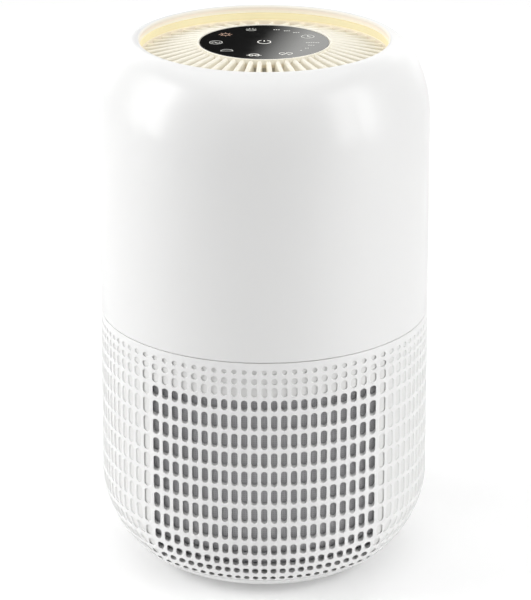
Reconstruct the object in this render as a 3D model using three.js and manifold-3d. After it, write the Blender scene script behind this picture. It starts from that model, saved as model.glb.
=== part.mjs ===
// Round tower air purifier, 220 mm across and 360 mm tall, as an assembly of its separate parts.
// Millimetres, +Z up. The origin is on the floor under the middle, and the front faces -Y.
// Air enters through the slotted lower shell, passes the ring filter, and leaves through the top.
import * as THREE from 'three';
import { mergeVertices } from 'three/addons/utils/BufferGeometryUtils.js';
import Module from 'manifold-3d';

const wasm = await Module();
wasm.setup();

// ---------------------------------------------------------------- driving dimensions
const HEIGHT = 360;
const MID_HEIGHT = 181;
const MID_RADIUS = 109;
const DRAFT = 0.008; // the wall leans in by this much per millimetre of height
const WALL = 2.6;
const SHELL_SEGMENTS = 40;
const GAP = 0.4; // clearance between neighbouring parts

const SHOULDER_START = 309.7; // height at which the straight wall starts to round over
const RIM_RADIUS = 82; // the highest circle of the rounded top edge
const SHOULDER_EXPONENT = 1.88; // 2 would be a true ellipse
const LIP_RADIUS = 1.5;
const SKIRT_BOTTOM = 355.3;

const BASE_CURVE_TOP = 60.5; // below this the wall rounds under towards the base
const BASE_CURVE_HEIGHT = 58.5;
const BASE_CURVE_INSET = 47;
const BASE_EXPONENT = 1.81;

const SEAM = 177.15; // joint line between the upper and the lower shell
const SEAM_HALF_GAP = 0.25;
const COVER_TOP = 14.3; // joint line between the lower shell and the twist-off base cover
const INTAKE_BOTTOM = COVER_TOP + 0.6;
const UNDERSIDE = 4.3;
const FOOT_HEIGHT = 4;
const FOOT_CIRCLE = 60;
const FOOT_RADIUS = 8;

const SLOT_COLUMNS = 11; // columns on each side of the middle one
const SLOT_PITCH = 6.366;
const SLOT_WIDTH = 4;
const SLOT_BOTTOM = 36; // the openings of one column are joined into one long slot
const SLOT_TOP = 151;
const SLOT_WALL = 4.2; // the slotted part of the lower shell is thicker
const SLOT_WALL_TOP = 155;
const LEDGE_RADIUS = 99.6; // inner edge of the lower shell's top ledge, which carries the deck
const LEDGE_DEPTH = 2.4;

const FIN_COUNT = 48;
const FIN_THICKNESS = 2.6;
const FIN_SLOPE = 0.2; // the fins fall by this much per millimetre towards the outside
const HUB_RADIUS = 44.2;
const THROAT_RADIUS = 81.2;
const FIN_BOTTOM = 342;
const RING_BOTTOM = 353.6; // underside of the ring round the panel, open below between the fins
const PANEL_RADIUS = 41.9;
const PANEL_TOP = 356.8;

const DECK_BOTTOM = 177.3;
const DECK_TOP = 180.3;
const DECK_RADIUS = 105.6;
const INLET_RADIUS = 47.5;
const DUCT_RADIUS = 95;
const POD_RADIUS = 47;
const POD_FLOOR = 272;
const VANE_COUNT = 9;

const IMPELLER_RADIUS = 80;
const BLADE_COUNT = 9;
const BACKPLATE_BOTTOM = 234;
const SHAFT_RADIUS = 2;

const FILTER_RADIUS = 75;
const FILTER_BORE = 46;
const FILTER_BOTTOM = 20.6;
const FILTER_TOP = 171.2;
const SLEEVE_THICKNESS = 0.4; // grey pre-filter sleeve that lines the slotted wall
const SLEEVE_BOTTOM = 20;
const SLEEVE_TOP = 171.4;

const BAYONET_COUNT = 4;
const COLLAR_RADIUS = 78.2;
const SHELL_SCREW_CIRCLE = 102.6;
const DUCT_SCREW_CIRCLE = DUCT_RADIUS + 6;
const MOTOR_SCREW_CIRCLE = 17;
const SCREW_BORE_RADIUS = 1.9;
const BOSS_RADIUS = 4.2; // a screw's boss or lug
const INLET_HEIGHT = 196; // height of the power inlet on the back

// ---------------------------------------------------------------- materials
const plastic = (color, roughness = 0.4) =>
  new THREE.MeshStandardMaterial({ color, roughness, metalness: 0 });
const metal = (color, roughness = 0.3) =>
  new THREE.MeshStandardMaterial({ color, roughness, metalness: 1 });

// ---------------------------------------------------------------- solids
// A closed manifold from any closed three.js geometry.
function solidOf(geometry) {
  geometry.deleteAttribute('normal');
  geometry.deleteAttribute('uv');
  const merged = mergeVertices(geometry, 1e-4);
  const index = merged.index.array;
  const triangles = [];
  for (let i = 0; i < index.length; i += 3) {
    const [a, b, c] = [index[i], index[i + 1], index[i + 2]];
    if (a !== b && b !== c && c !== a) triangles.push(a, b, c);
  }
  return new wasm.Manifold(new wasm.Mesh({
    numProp: 3,
    vertProperties: new Float32Array(merged.attributes.position.array),
    triVerts: new Uint32Array(triangles),
  }));
}

function signedArea(points) {
  return points.reduce((sum, [x, y], i) => {
    const [nextX, nextY] = points[(i + 1) % points.length];
    return sum + (x * nextY - nextX * y) / 2;
  }, 0);
}

// Turns a closed outline of [radius, height] points about the Z axis.
function revolve(outline, segments = 28) {
  const points = signedArea(outline) > 0 ? [...outline] : [...outline].reverse();
  points.push(points[0]);
  const lathe = new THREE.LatheGeometry(points.map(([r, z]) => new THREE.Vector2(r, z)), segments);
  return solidOf(lathe.rotateX(Math.PI / 2));
}

// A flat outline of [x, y] points, raised from z = bottom to z = top.
function raise(outline, bottom, top) {
  const shape = new THREE.Shape(outline.map(([x, y]) => new THREE.Vector2(x, y)));
  const body = new THREE.ExtrudeGeometry(shape, { depth: top - bottom, bevelEnabled: false });
  return solidOf(body.translate(0, 0, bottom));
}

function ring(innerRadius, outerRadius, bottom, top, segments) {
  return revolve([
    [innerRadius, bottom], [outerRadius, bottom], [outerRadius, top], [innerRadius, top],
  ], segments);
}

function disc(radius, bottom, top, segments = 28) {
  const cylinder = new THREE.CylinderGeometry(radius, radius, top - bottom, segments);
  return solidOf(cylinder.rotateX(Math.PI / 2).translate(0, 0, (top + bottom) / 2));
}

function block(size, centre) {
  return solidOf(new THREE.BoxGeometry(...size).translate(...centre));
}

const turnBy = (solid, degrees) => solid.rotate([0, 0, degrees]);
const moveTo = (solid, x, y, z = 0) => solid.translate([x, y, z]);
const joinAll = (solids) => solids.reduce((whole, solid) => whole.add(solid));
const cutAll = (solid, tools) => tools.reduce((whole, tool) => whole.subtract(tool), solid);
const aroundZ = (count, make, start = 0) =>
  Array.from({ length: count }, (_, i) => make(start + (i * 360) / count, i));

function onCircle(solid, radius, degrees) {
  const angle = THREE.MathUtils.degToRad(degrees);
  return moveTo(solid, radius * Math.cos(angle), radius * Math.sin(angle));
}

const screwBore = (bottom, top) => disc(SCREW_BORE_RADIUS, bottom, top, 8);

// ---------------------------------------------------------------- the outer form
const wallRadius = (z) => MID_RADIUS - DRAFT * (z - MID_HEIGHT);

// A quarter of a superellipse, from 0 at t = 0 to 1 at t = 1, as [along, across].
function quarterCurve(t, exponent) {
  const angle = (t * Math.PI) / 2;
  return [Math.sin(angle) ** (2 / exponent), 1 - Math.cos(angle) ** (2 / exponent)];
}

function shoulderPoints(steps, thickness = 0) {
  const rise = HEIGHT - SHOULDER_START - thickness;
  return Array.from({ length: steps + 1 }, (_, i) => {
    const [along, across] = quarterCurve(i / steps, SHOULDER_EXPONENT);
    const z = SHOULDER_START + rise * along;
    const start = wallRadius(z) - thickness;
    const end = thickness ? RIM_RADIUS + LIP_RADIUS - 0.3 : RIM_RADIUS;
    return [start - (start - end) * across, z];
  });
}

function baseRadius(z) {
  if (z >= BASE_CURVE_TOP) return wallRadius(z);
  const along = (BASE_CURVE_TOP - z) / BASE_CURVE_HEIGHT;
  const across = 1 - (1 - along ** BASE_EXPONENT) ** (1 / BASE_EXPONENT);
  return wallRadius(z) - BASE_CURVE_INSET * across;
}

// Moves an open outline sideways by a distance, along its corner normals.
function offsetOutline(points, distance) {
  return points.map(([r, z], i) => {
    const [r0, z0] = points[Math.max(i - 1, 0)];
    const [r1, z1] = points[Math.min(i + 1, points.length - 1)];
    const length = Math.hypot(r1 - r0, z1 - z0);
    return [r - (distance * (z1 - z0)) / length, z + (distance * (r1 - r0)) / length];
  });
}

// ---------------------------------------------------------------- shells
function makeUpperShell() {
  const bottom = SEAM + SEAM_HALF_GAP;
  const outside = shoulderPoints(8);
  const inside = shoulderPoints(4, WALL);
  const lip = [45, 90].map((degrees) => {
    const angle = THREE.MathUtils.degToRad(degrees);
    return [RIM_RADIUS - LIP_RADIUS * Math.sin(angle), HEIGHT - LIP_RADIUS * (1 - Math.cos(angle))];
  });
  const skirtRadius = RIM_RADIUS - LIP_RADIUS;
  const skirtBack = inside[inside.length - 1][0];
  const shell = revolve([
    [wallRadius(bottom), bottom], ...outside, ...lip,
    [skirtRadius, SKIRT_BOTTOM], [skirtBack, SKIRT_BOTTOM],
    ...inside.reverse(), [wallRadius(bottom) - WALL, bottom],
  ], SHELL_SEGMENTS);
  const bosses = aroundZ(4, (angle) =>
    onCircle(disc(BOSS_RADIUS, DECK_TOP + GAP, 196, 8), SHELL_SCREW_CIRCLE, angle), 45);
  const bores = aroundZ(4, (angle) => onCircle(screwBore(170, 193), SHELL_SCREW_CIRCLE, angle), 45);
  const inletHole = disc(6.1, 0, 20, 20).rotate([90, 0, 0]).translate([0, 118, INLET_HEIGHT]);
  return cutAll(joinAll([shell, ...bosses]), [...bores, inletHole]);
}

function slotCutters() {
  const cutters = [];
  const size = [SLOT_WIDTH, 80, SLOT_TOP - SLOT_BOTTOM];
  for (const side of [-1, 1]) {
    for (let column = -SLOT_COLUMNS; column <= SLOT_COLUMNS; column += 1) {
      cutters.push(block(size, [column * SLOT_PITCH, side * 80, (SLOT_TOP + SLOT_BOTTOM) / 2]));
    }
  }
  return cutters;
}

// The curved foot of the lower shell, closer steps at the bottom where it bends most.
function baseCurve(steps = 5) {
  return Array.from({ length: steps + 1 }, (_, i) => {
    const z = INTAKE_BOTTOM + (BASE_CURVE_TOP - INTAKE_BOTTOM) * (i / steps) ** 1.25;
    return [baseRadius(z), z];
  });
}

function makeIntakeShell() {
  const top = SEAM - SEAM_HALF_GAP;
  const bottom = INTAKE_BOTTOM;
  const curve = baseCurve();
  const outside = [...curve, [wallRadius(top), top]];
  const inside = offsetOutline(curve, SLOT_WALL).filter(([, z]) => z > bottom + 4);
  const deckLedge = top - LEDGE_DEPTH;
  const coverLedge = bottom + 2.5;
  const shell = revolve([
    [COLLAR_RADIUS + 2.8, bottom], ...outside, [LEDGE_RADIUS, top], [LEDGE_RADIUS, deckLedge],
    [wallRadius(top) - WALL, deckLedge], [wallRadius(SLOT_WALL_TOP) - WALL, SLOT_WALL_TOP + 3],
    [wallRadius(SLOT_WALL_TOP) - SLOT_WALL, SLOT_WALL_TOP], ...inside.reverse(),
    [baseRadius(coverLedge) - WALL, coverLedge], [COLLAR_RADIUS + 2.8, coverLedge],
  ], SHELL_SEGMENTS);
  const tabs = aroundZ(BAYONET_COUNT, (angle) =>
    arcBlock(COLLAR_RADIUS + GAP, COLLAR_RADIUS + 4, bottom, bottom + 2.5, angle, 20), 45);
  const bores = aroundZ(4, (angle) => onCircle(screwBore(165, 180), SHELL_SCREW_CIRCLE, angle), 45);
  return cutAll(joinAll([shell, ...tabs]), [...bores, ...slotCutters()]);
}

// A stretch of a ring, span degrees long, about the direction given in degrees.
function arcBlock(innerRadius, outerRadius, bottom, top, degrees, span) {
  const steps = 4;
  const at = (radius, i) => {
    const angle = THREE.MathUtils.degToRad(degrees + span * (i / steps - 0.5));
    return [radius * Math.cos(angle), radius * Math.sin(angle)];
  };
  const indices = Array.from({ length: steps + 1 }, (_, i) => i);
  return raise([
    ...indices.map((i) => at(outerRadius, i)), ...indices.reverse().map((i) => at(innerRadius, i)),
  ], bottom, top);
}

function makeBaseCover() {
  const floor = UNDERSIDE + 2.6;
  const gripRadius = 34;
  const gripDepth = 12;
  const rimHeights = [UNDERSIDE, 6.8, 10, COVER_TOP];
  const outside = rimHeights.map((z) => [baseRadius(z), z]);
  const bowl = revolve([
    [gripRadius, UNDERSIDE], ...outside, [COLLAR_RADIUS + 6, COVER_TOP],
    [COLLAR_RADIUS, COVER_TOP], [COLLAR_RADIUS, 20.2], [COLLAR_RADIUS - 2.4, 20.2],
    [COLLAR_RADIUS - 2.4, 12], [COLLAR_RADIUS - 8, floor], [gripRadius + 2.4, floor],
    [gripRadius + 2.4, UNDERSIDE + gripDepth + 2.4], [gripRadius, UNDERSIDE + gripDepth + 2.4],
  ], SHELL_SEGMENTS);
  const gripRoof = disc(gripRadius + 1, UNDERSIDE + gripDepth, UNDERSIDE + gripDepth + 2.4);
  const gripBar = block([2 * gripRadius + 2, 14, gripDepth + 1], [0, 0, UNDERSIDE + (gripDepth + 1) / 2]);
  const filterRest = ring(60, 62, floor - 1, FILTER_BOTTOM - GAP);
  const lugBottom = COVER_TOP + 3.6;
  const lugs = aroundZ(BAYONET_COUNT, (angle) =>
    arcBlock(COLLAR_RADIUS - 1, COLLAR_RADIUS + 2.3, lugBottom, lugBottom + 2, angle, 16), 45);
  return joinAll([bowl, gripRoof, gripBar, filterRest, ...lugs]);
}

function makeFoot() {
  return revolve([
    [0, 0], [FOOT_RADIUS - 0.8, 0], [FOOT_RADIUS, 0.8], [FOOT_RADIUS, FOOT_HEIGHT], [0, FOOT_HEIGHT],
  ], 12);
}

// ---------------------------------------------------------------- filter
function makeFilterTopCap() {
  return revolve([
    [FILTER_BORE, FILTER_TOP - 2.4], [FILTER_RADIUS - 1.5, FILTER_TOP - 2.4], [FILTER_RADIUS - 1.5, 163.5],
    [FILTER_RADIUS, 163.5], [FILTER_RADIUS, FILTER_TOP], [FILTER_BORE, FILTER_TOP],
  ]);
}

function makeFilterBottomCap() {
  return revolve([
    [0, FILTER_BOTTOM], [FILTER_RADIUS, FILTER_BOTTOM], [FILTER_RADIUS, 28.5],
    [FILTER_RADIUS - 1.5, 28.5], [FILTER_RADIUS - 1.5, FILTER_BOTTOM + 2.4], [0, FILTER_BOTTOM + 2.4],
  ]);
}

const filterLayer = (innerRadius, outerRadius) =>
  ring(innerRadius, outerRadius, FILTER_BOTTOM + 2.8, FILTER_TOP - 2.8, 24);

// The sleeve follows the inside of the slotted wall.
function makePrefilterSleeve() {
  const side = (depth) => [
    ...offsetOutline(baseCurve(), depth).filter(([, z]) => z > SLEEVE_BOTTOM),
    [wallRadius(SLEEVE_TOP) - depth, SLEEVE_TOP],
  ];
  const outerDepth = SLOT_WALL + GAP;
  const outline = [...side(outerDepth), ...side(outerDepth + SLEEVE_THICKNESS).reverse()];
  return revolve(outline, SHELL_SEGMENTS);
}

function makePullTab() {
  const outline = [[-26, -7], [26, -7], [26, 7], [-26, 7]];
  return raise(outline, FILTER_BOTTOM - 1.6, FILTER_BOTTOM - 0.5);
}

// ---------------------------------------------------------------- deck between filter and fan
function makeDeckPlate() {
  const plate = revolve([
    [INLET_RADIUS + 4, DECK_BOTTOM], [DECK_RADIUS, DECK_BOTTOM], [DECK_RADIUS, DECK_TOP],
    [INLET_RADIUS + 5.5, DECK_TOP], [INLET_RADIUS + 2.4, DECK_TOP + 2.6], [INLET_RADIUS + 1.8, 189],
    [INLET_RADIUS, 189], [INLET_RADIUS, DECK_TOP + 2],
  ]);
  const shellBores = aroundZ(4, (angle) => onCircle(screwBore(170, 185), SHELL_SCREW_CIRCLE, angle), 45);
  const ductBores = aroundZ(3, (angle) => onCircle(screwBore(170, 185), DUCT_SCREW_CIRCLE, angle), 90);
  return cutAll(plate, [...shellBores, ...ductBores]);
}

function makeInletGuard() {
  const bottom = DECK_BOTTOM - 2.7;
  const top = DECK_BOTTOM - GAP;
  const rings = [[6, 8], [25, 26.5], [45, 51]].map(([inner, outer]) =>
    ring(inner, outer, bottom, top, 24));
  const spoke = block([40, 1.8, top - bottom], [27, 0, (top + bottom) / 2]);
  const spokes = aroundZ(6, (angle) => turnBy(spoke, angle));
  return joinAll([...rings, ...spokes]);
}

// ---------------------------------------------------------------- fan housing with guide vanes
function makeFanHousing() {
  const wall = 2;
  const throatTop = FIN_BOTTOM - 1.8;
  const outer = revolve([
    [DUCT_RADIUS, DECK_TOP + GAP], [DUCT_RADIUS + 3, DECK_TOP + GAP], [DUCT_RADIUS + 3, DECK_TOP + 2.8],
    [DUCT_RADIUS + wall, DECK_TOP + 2.8], [DUCT_RADIUS + wall, 302], [THROAT_RADIUS + wall, 332],
    [THROAT_RADIUS + wall, throatTop], [THROAT_RADIUS, throatTop], [THROAT_RADIUS, 331.4],
    [DUCT_RADIUS, 301.4],
  ]);
  const pod = revolve([
    [12, POD_FLOOR], [POD_RADIUS - 8, POD_FLOOR], [POD_RADIUS, POD_FLOOR + 8], [POD_RADIUS, throatTop],
    [POD_RADIUS - wall, throatTop], [POD_RADIUS - wall, POD_FLOOR + 9], [POD_RADIUS - 9, POD_FLOOR + 3],
    [12, POD_FLOOR + 3],
  ]);
  const vaneLength = DUCT_RADIUS + 1 - (POD_RADIUS - 1);
  const vanes = aroundZ(VANE_COUNT, (angle) => {
    const vane = block([vaneLength, 1.8, 16], [0, 0, 0]).rotate([28, 0, 0]);
    return turnBy(moveTo(vane, POD_RADIUS - 1 + vaneLength / 2, 0, 291), angle);
  });
  const lugs = aroundZ(3, (angle) =>
    onCircle(disc(BOSS_RADIUS, DECK_TOP + GAP, DECK_TOP + 2.8, 8), DUCT_SCREW_CIRCLE, angle), 90);
  const lugBores = aroundZ(3, (angle) => onCircle(screwBore(170, 190), DUCT_SCREW_CIRCLE, angle), 90);
  const motorBores = aroundZ(3, (angle) => onCircle(screwBore(260, 280), MOTOR_SCREW_CIRCLE, angle));
  return cutAll(joinAll([outer, pod, ...vanes, ...lugs]), [...lugBores, ...motorBores]);
}

// ---------------------------------------------------------------- impeller and motor
// A backward-leaning blade: a thin curved strip between the shroud and the backplate.
function makeBlade(degrees) {
  const steps = 4;
  const sweep = -38;
  const innerRadius = 50;
  const centreLine = Array.from({ length: steps + 1 }, (_, i) => {
    const angle = THREE.MathUtils.degToRad(degrees + (sweep * i) / steps);
    const radius = innerRadius + ((IMPELLER_RADIUS - 0.5 - innerRadius) * i) / steps;
    return [radius * Math.cos(angle), radius * Math.sin(angle)];
  });
  const otherSide = offsetOutline(centreLine, 1.8).reverse();
  return raise([...centreLine, ...otherSide], 190, BACKPLATE_BOTTOM + 1);
}

function makeImpeller() {
  const plate = revolve([
    [SHAFT_RADIUS + 0.3, 226], [8, 226], [8, 232], [22, BACKPLATE_BOTTOM],
    [IMPELLER_RADIUS, BACKPLATE_BOTTOM], [IMPELLER_RADIUS, BACKPLATE_BOTTOM + 2],
    [SHAFT_RADIUS + 0.3, BACKPLATE_BOTTOM + 2],
  ]);
  const blades = joinAll(aroundZ(BLADE_COUNT, makeBlade));
  const belowShroud = revolve([
    [40, 180], [90, 180], [90, 213.4], [66, 200.6], [55.2, 194.4], [40, 192],
  ]);
  return plate.add(blades.subtract(belowShroud));
}

function makeImpellerShroud() {
  return revolve([
    [51.6, 184], [53.2, 184], [53.2, 190], [66, 198.2], [IMPELLER_RADIUS, 206],
    [IMPELLER_RADIUS, 208], [66, 200], [51.6, 191.4],
  ]);
}

function makeRotorCan() {
  return revolve([
    [SHAFT_RADIUS + 0.3, 237.4], [26, 237.4], [28, 239.4], [28, 266], [26, 266], [26, 240.4],
    [6, 240.4], [6, 244], [SHAFT_RADIUS + 0.3, 244],
  ]);
}

function makeStator() {
  const core = ring(6.8, 10, 249, 262, 24);
  const teeth = aroundZ(9, (angle) => {
    const arm = block([13, 3.4, 10], [15.5, 0, 255.5]);
    const winding = block([8, 5, 12], [15, 0, 255.5]);
    const tip = arcBlock(21.4, 23.9, 250, 261, 0, 30);
    return turnBy(joinAll([arm, winding, tip]), angle);
  });
  return joinAll([core, ...teeth]);
}

function makeMotorBase() {
  const base = revolve([
    [4.3, 246.5], [6.4, 246.5], [6.4, 268.6], [22, 268.6], [22, POD_FLOOR - GAP], [4.3, POD_FLOOR - GAP],
  ]);
  const bores = aroundZ(3, (angle) => onCircle(screwBore(260, 280), MOTOR_SCREW_CIRCLE, angle));
  return cutAll(base, bores);
}

const makeBearing = (bottom) => ring(SHAFT_RADIUS + 0.3, 4, bottom, bottom + 4, 20);

function makeShaft() {
  return revolve([[0, 224], [SHAFT_RADIUS, 224], [SHAFT_RADIUS, 271], [0, 271]], 16);
}

// ---------------------------------------------------------------- outlet and control head
function makeOutletGrille() {
  const finTop = (r) => 356 - FIN_SLOPE * (r - 44);
  const ledge = PANEL_TOP - 2.7;
  const ringTop = PANEL_TOP + 0.4;
  const hub = revolve([
    [39, FIN_BOTTOM], [41, FIN_BOTTOM], [41, RING_BOTTOM], [HUB_RADIUS, RING_BOTTOM], [HUB_RADIUS, ringTop],
    [PANEL_RADIUS + GAP, ringTop], [PANEL_RADIUS + GAP, ledge], [39, ledge],
  ], 32);
  const outerRing = ring(THROAT_RADIUS, THROAT_RADIUS + 3.2, FIN_BOTTOM - 1.4, 350.1, 32);
  const side = [
    [40.2, FIN_BOTTOM], [THROAT_RADIUS + 1, FIN_BOTTOM], [THROAT_RADIUS + 1, finTop(THROAT_RADIUS + 1)],
    [HUB_RADIUS - 0.6, finTop(HUB_RADIUS - 0.6)], [HUB_RADIUS - 0.6, RING_BOTTOM + 0.2],
    [40.2, RING_BOTTOM + 0.2],
  ];
  const flatFin = raise(side, -FIN_THICKNESS / 2, FIN_THICKNESS / 2).rotate([90, 0, 0]);
  const fins = aroundZ(FIN_COUNT, (angle) => turnBy(flatFin, angle), 360 / FIN_COUNT / 2);
  return joinAll([hub, outerRing, ...fins]);
}

function makeLightRing() {
  return revolve([
    [THROAT_RADIUS - 0.6, 350.5], [THROAT_RADIUS + 4.6, 350.5], [THROAT_RADIUS + 4.6, 352.3],
    [THROAT_RADIUS + 1.6, 352.3], [THROAT_RADIUS + 1.6, 354.9], [THROAT_RADIUS - 0.6, 354.9],
  ], 32);
}

function makePanelCarrier() {
  return revolve([
    [0, 344], [38.6, 344], [38.6, 354], [36.6, 354], [36.6, 346], [0, 346],
  ]);
}

// ---------------------------------------------------------------- small parts
function makeScrew(length, shankRadius = 1.5) {
  const headRadius = shankRadius * 1.85;
  const headHeight = shankRadius * 1.5;
  return revolve([
    [0, -headHeight], [headRadius, -headHeight], [headRadius, 0],
    [shankRadius, 0], [shankRadius, length], [0, length],
  ], 8);
}

function makePowerInlet() {
  const socket = revolve([
    [0, 0], [8, 0], [8, 2.4], [5.7, 2.4], [5.7, 9.4], [3, 9.4], [3, 2.4], [1, 2.4], [1, 8], [0, 8],
  ], 20);
  return socket.rotate([-90, 0, 0]).translate([0, 98.8, INLET_HEIGHT]);
}

// ---------------------------------------------------------------- the assembly
const purifier = new THREE.Group();

function addPart(name, solid, material) {
  const { numProp, vertProperties, triVerts } = solid.getMesh();
  const geometry = new THREE.BufferGeometry();
  const positions = new Float32Array((vertProperties.length / numProp) * 3);
  for (let i = 0; i < positions.length / 3; i += 1) {
    for (let axis = 0; axis < 3; axis += 1) positions[i * 3 + axis] = vertProperties[i * numProp + axis];
  }
  geometry.setAttribute('position', new THREE.BufferAttribute(positions, 3));
  geometry.setIndex(new THREE.BufferAttribute(new Uint32Array(triVerts), 1));
  geometry.computeVertexNormals();
  const mesh = new THREE.Mesh(geometry, material);
  mesh.name = name;
  purifier.add(mesh);
  return mesh;
}

const white = plastic('#f3f3f1', 0.3);
const cream = plastic('#f2ead6', 0.45);
const innerPlastic = plastic('#dcdcd8', 0.5);
const rubber = plastic('#3a3a3a', 0.85);
const blackGlass = plastic('#0b0b0a', 0.08);
const circuitBoard = plastic('#1f5a3a', 0.5);
const steel = metal('#b9bcc0', 0.35);
const zinc = metal('#c9cbce', 0.4);
const copper = metal('#b36a3c', 0.4);

addPart('upper_shell', makeUpperShell(), white);
addPart('intake_shell', makeIntakeShell(), white);
addPart('base_cover', makeBaseCover(), white);
aroundZ(4, (angle, i) => {
  const foot = addPart(`foot_${i + 1}`, makeFoot(), rubber);
  const radians = THREE.MathUtils.degToRad(angle);
  foot.position.set(FOOT_CIRCLE * Math.cos(radians), FOOT_CIRCLE * Math.sin(radians), 0);
}, 45);

addPart('filter_top_cap', makeFilterTopCap(), plastic('#d9dcdf', 0.5));
addPart('filter_bottom_cap', makeFilterBottomCap(), plastic('#d9dcdf', 0.5));
addPart('filter_media', filterLayer(52.5, 72.6), plastic('#eceae4', 0.9));
addPart('carbon_layer', filterLayer(47.5, 51.9), plastic('#2b2b2b', 0.95));
addPart('prefilter_mesh', makePrefilterSleeve(), plastic('#9b9b98', 0.9));
addPart('filter_pull_tab', makePullTab(), plastic('#7fa6c9', 0.8));
addPart('filter_gasket', ring(55, 61, FILTER_TOP + GAP, DECK_BOTTOM - GAP, 24), plastic('#4a4a4a', 0.95));

addPart('deck_plate', makeDeckPlate(), innerPlastic);
addPart('inlet_guard', makeInletGuard(), innerPlastic);
addPart('fan_housing', makeFanHousing(), innerPlastic);

addPart('impeller', makeImpeller(), plastic('#c9ccd0', 0.45));
addPart('impeller_shroud', makeImpellerShroud(), plastic('#c9ccd0', 0.45));
addPart('rotor_can', makeRotorCan(), steel);
addPart('rotor_magnet', ring(24.7, 25.6, 243, 263, 28), metal('#55585c', 0.6));
addPart('motor_shaft', makeShaft(), steel);
addPart('motor_stator', makeStator(), copper);
addPart('motor_base', makeMotorBase(), zinc);
addPart('bearing_lower', makeBearing(247.5), steel);
addPart('bearing_upper', makeBearing(262), steel);

addPart('outlet_grille', makeOutletGrille(), cream);
addPart('light_ring', makeLightRing(), plastic('#ffe9b8', 0.5));
addPart('led_board', ring(THROAT_RADIUS + 5.2, 91.5, 350.5, 352.1, 28), plastic('#f0f0ea', 0.5));
addPart('panel_carrier', makePanelCarrier(), innerPlastic);
addPart('touch_board', disc(36, 350.4, 352), circuitBoard);
addPart('control_panel', disc(PANEL_RADIUS, PANEL_TOP - 2.4, PANEL_TOP, 48), blackGlass);
addPart('main_board', disc(34, 318, 319.6), circuitBoard);
addPart('power_inlet', makePowerInlet(), plastic('#202020', 0.5));

aroundZ(4, (angle, i) => {
  const screw = addPart(`shell_screw_${i + 1}`, onCircle(makeScrew(16), SHELL_SCREW_CIRCLE, angle), zinc);
  screw.position.z = SEAM - SEAM_HALF_GAP - LEDGE_DEPTH - GAP;
}, 45);
aroundZ(3, (angle, i) => {
  const screw = makeScrew(5.4).rotate([180, 0, 0]);
  addPart(`duct_screw_${i + 1}`, onCircle(screw, DUCT_SCREW_CIRCLE, angle), zinc).position.z = DECK_TOP + 3.1;
}, 90);
aroundZ(3, (angle, i) => {
  const screw = makeScrew(6).rotate([180, 0, 0]);
  const placed = addPart(`motor_screw_${i + 1}`, onCircle(screw, MOTOR_SCREW_CIRCLE, angle), zinc);
  placed.position.z = POD_FLOOR + 3.3;
});

export default purifier;
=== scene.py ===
"""Looks of the round tower air purifier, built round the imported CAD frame.

The object's sizes are in millimetres and become metres when a piece is made. The set, lamps and camera
are in metres. +Z is up and the front faces -Y.
"""

import math

import bmesh
import bpy
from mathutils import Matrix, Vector


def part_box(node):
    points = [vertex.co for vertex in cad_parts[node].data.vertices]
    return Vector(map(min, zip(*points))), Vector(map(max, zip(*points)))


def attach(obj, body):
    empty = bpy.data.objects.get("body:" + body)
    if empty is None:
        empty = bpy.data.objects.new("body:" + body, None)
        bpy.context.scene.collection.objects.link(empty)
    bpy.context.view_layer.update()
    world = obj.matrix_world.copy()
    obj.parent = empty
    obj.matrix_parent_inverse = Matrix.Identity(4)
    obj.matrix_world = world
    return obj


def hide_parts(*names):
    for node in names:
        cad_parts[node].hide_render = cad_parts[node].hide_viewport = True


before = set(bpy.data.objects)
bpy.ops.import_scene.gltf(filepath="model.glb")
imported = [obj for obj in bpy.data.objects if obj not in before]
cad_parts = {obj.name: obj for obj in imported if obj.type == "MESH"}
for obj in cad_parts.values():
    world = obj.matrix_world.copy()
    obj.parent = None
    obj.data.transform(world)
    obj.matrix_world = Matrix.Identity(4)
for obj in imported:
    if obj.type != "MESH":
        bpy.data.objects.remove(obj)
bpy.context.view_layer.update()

MM = 0.001


def mm_box(node):
    """Lowest and highest corner of a CAD node, in millimetres."""
    low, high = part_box(node)
    return low / MM, high / MM


def top_of(node):
    return mm_box(node)[1].z


def bottom_of(node):
    return mm_box(node)[0].z


def radius_of(node):
    return mm_box(node)[1].x


# ---------------------------------------------------------------- driving dimensions
HEIGHT = top_of("upper_shell")
SEAM_TOP = bottom_of("upper_shell")
SEAM_BOTTOM = top_of("intake_shell")
SHELL_BOTTOM = bottom_of("intake_shell")
UNDERSIDE = bottom_of("base_cover")
COVER_TOP = SHELL_BOTTOM - 0.6
PANEL_TOP = top_of("control_panel")
PANEL_RADIUS = radius_of("control_panel")

MID_HEIGHT = 181
MID_RADIUS = 109
DRAFT = 0.008  # the wall leans in by this much per millimetre of height
WALL = 2.6
WALL_EDGE = 0.25  # rounding of the shells' edges at the joint lines

SHOULDER_START = 309.7
RIM_RADIUS = 82
SHOULDER_EXPONENT = 1.88
LIP_RADIUS = 1.5
SKIRT_BOTTOM = 355.3

BASE_CURVE_TOP = 60.5
BASE_CURVE_HEIGHT = 58.5
BASE_CURVE_INSET = 47
BASE_EXPONENT = 1.81

COLUMN_PITCH = 6.366  # columns of the front and rear grids
COLUMN_COUNT = 25  # in each of the four grids round the shell
OPEN_COLUMNS = 11  # on each side of the middle one; the last column is blind
PITCH_TIGHTENING = 0.22  # how far the columns close up towards the base
TIGHTENING_EXPONENT = 2.6
SLOT_WIDTH = 4.2
SLOT_WALL = 4.2  # the slotted part of the lower shell is thicker
CHAMFER = 0.16
FRONT_RECESS = 0.9  # depth of the blind slots in the front and rear grids
SIDE_RECESS = 0.8
ROW_PITCH = 12.97
FULL_ROWS = 7
FIRST_FULL_ROW = 57.93
BLIND_ABOVE = 152  # rows above this height are blind all round
GRID_TOP = 173.6
GRID_BOTTOM = 15.7

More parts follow.
